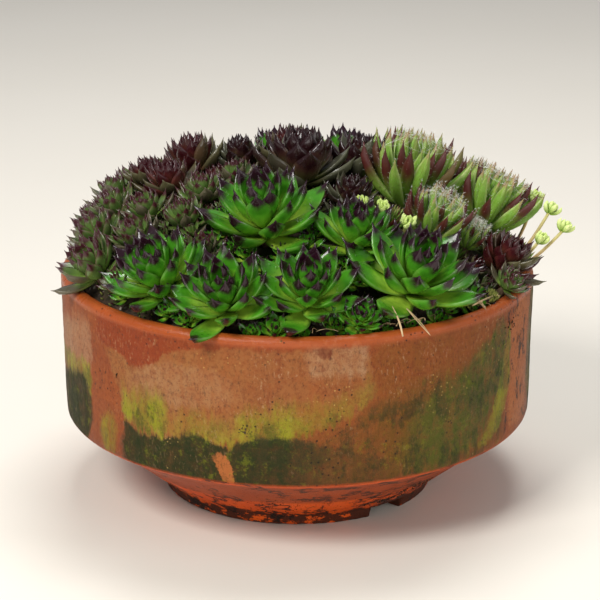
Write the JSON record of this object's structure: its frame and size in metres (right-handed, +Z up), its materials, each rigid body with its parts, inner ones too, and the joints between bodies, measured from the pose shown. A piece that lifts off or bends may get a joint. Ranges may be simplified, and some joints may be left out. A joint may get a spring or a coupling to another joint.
{
  "type": "planted terracotta pan",
  "caption": "Weathered shallow terracotta pan on a notched foot ring, planted with a mixed mound of houseleeks that lifts out.",
  "frame": {"origin": "middle of the foot ring, on the plane the pot stands on", "axes": "+Z up; the pot is seen along +Y, with +X to its right"},
  "size_m": [0.3015, 0.2812, 0.2003],
  "materials": {
    "terracotta": "matte",
    "old_terracotta": "matte",
    "grit": "matte",
    "compost": "matte",
    "moss": "matte",
    "dry_straw": "matte",
    "leaf_green": "gloss",
    "leaf_purple_green": "satin",
    "leaf_burgundy": "satin",
    "leaf_maroon": "satin",
    "leaf_cobweb": "matte"
  },
  "bodies": {
    "pot": {"pot": "terracotta", "crock_over_drain": "old_terracotta", "crock_side": "old_terracotta", "grit_layer": "grit"},
    "planting": {"root_ball": "compost", "moss_cushion": "moss", "runners_right": "leaf_cobweb", "runners_middle": "leaf_cobweb", "dry_stalks": "dry_straw", "green_rosette_1": "leaf_green", "green_rosette_2": "leaf_green", "green_rosette_3": "leaf_green", "green_rosette_4": "leaf_green", "green_rosette_5": "leaf_green", "green_rosette_6": "leaf_green", "green_rosette_7": "leaf_green", "green_rosette_8": "leaf_green", "green_rosette_9": "leaf_green", "purple_offset_1": "leaf_purple_green", "purple_offset_2": "leaf_purple_green", "purple_offset_3": "leaf_purple_green", "purple_offset_4": "leaf_purple_green", "purple_offset_5": "leaf_purple_green", "purple_offset_6": "leaf_purple_green", "purple_offset_7": "leaf_purple_green", "purple_offset_8": "leaf_purple_green", "purple_offset_9": "leaf_purple_green", "purple_offset_10": "leaf_purple_green", "purple_offset_11": "leaf_purple_green", "purple_offset_12": "leaf_purple_green", "purple_offset_13": "leaf_purple_green", "purple_offset_14": "leaf_purple_green", "purple_offset_15": "leaf_purple_green", "purple_offset_16": "leaf_purple_green", "red_rosette_1": "leaf_burgundy", "red_rosette_2": "leaf_burgundy", "red_rosette_3": "leaf_burgundy", "red_rosette_4": "leaf_burgundy", "red_rosette_5": "leaf_burgundy", "red_rosette_6": "leaf_burgundy", "grey_rosette_1": "leaf_maroon", "grey_rosette_2": "leaf_maroon", "dark_rosette_1": "leaf_maroon", "dark_rosette_2": "leaf_maroon", "dark_rosette_3": "leaf_maroon", "cobweb_rosette_1": "leaf_cobweb", "cobweb_rosette_2": "leaf_cobweb", "cobweb_rosette_3": "leaf_cobweb", "cobweb_rosette_4": "leaf_cobweb", "cobweb_rosette_5": "leaf_cobweb", "cobweb_rosette_6": "leaf_cobweb", "rim_rosette_1": "leaf_burgundy", "rim_rosette_2": "leaf_purple_green", "rim_rosette_3": "leaf_purple_green", "rim_rosette_4": "leaf_purple_green"}
  },
  "joints": [
    {"name": "root_ball_lift", "type": "slide", "parent": "pot", "child": "planting", "axis": [0, 0, 1], "range_m": [0, 0.15]}
  ]
}
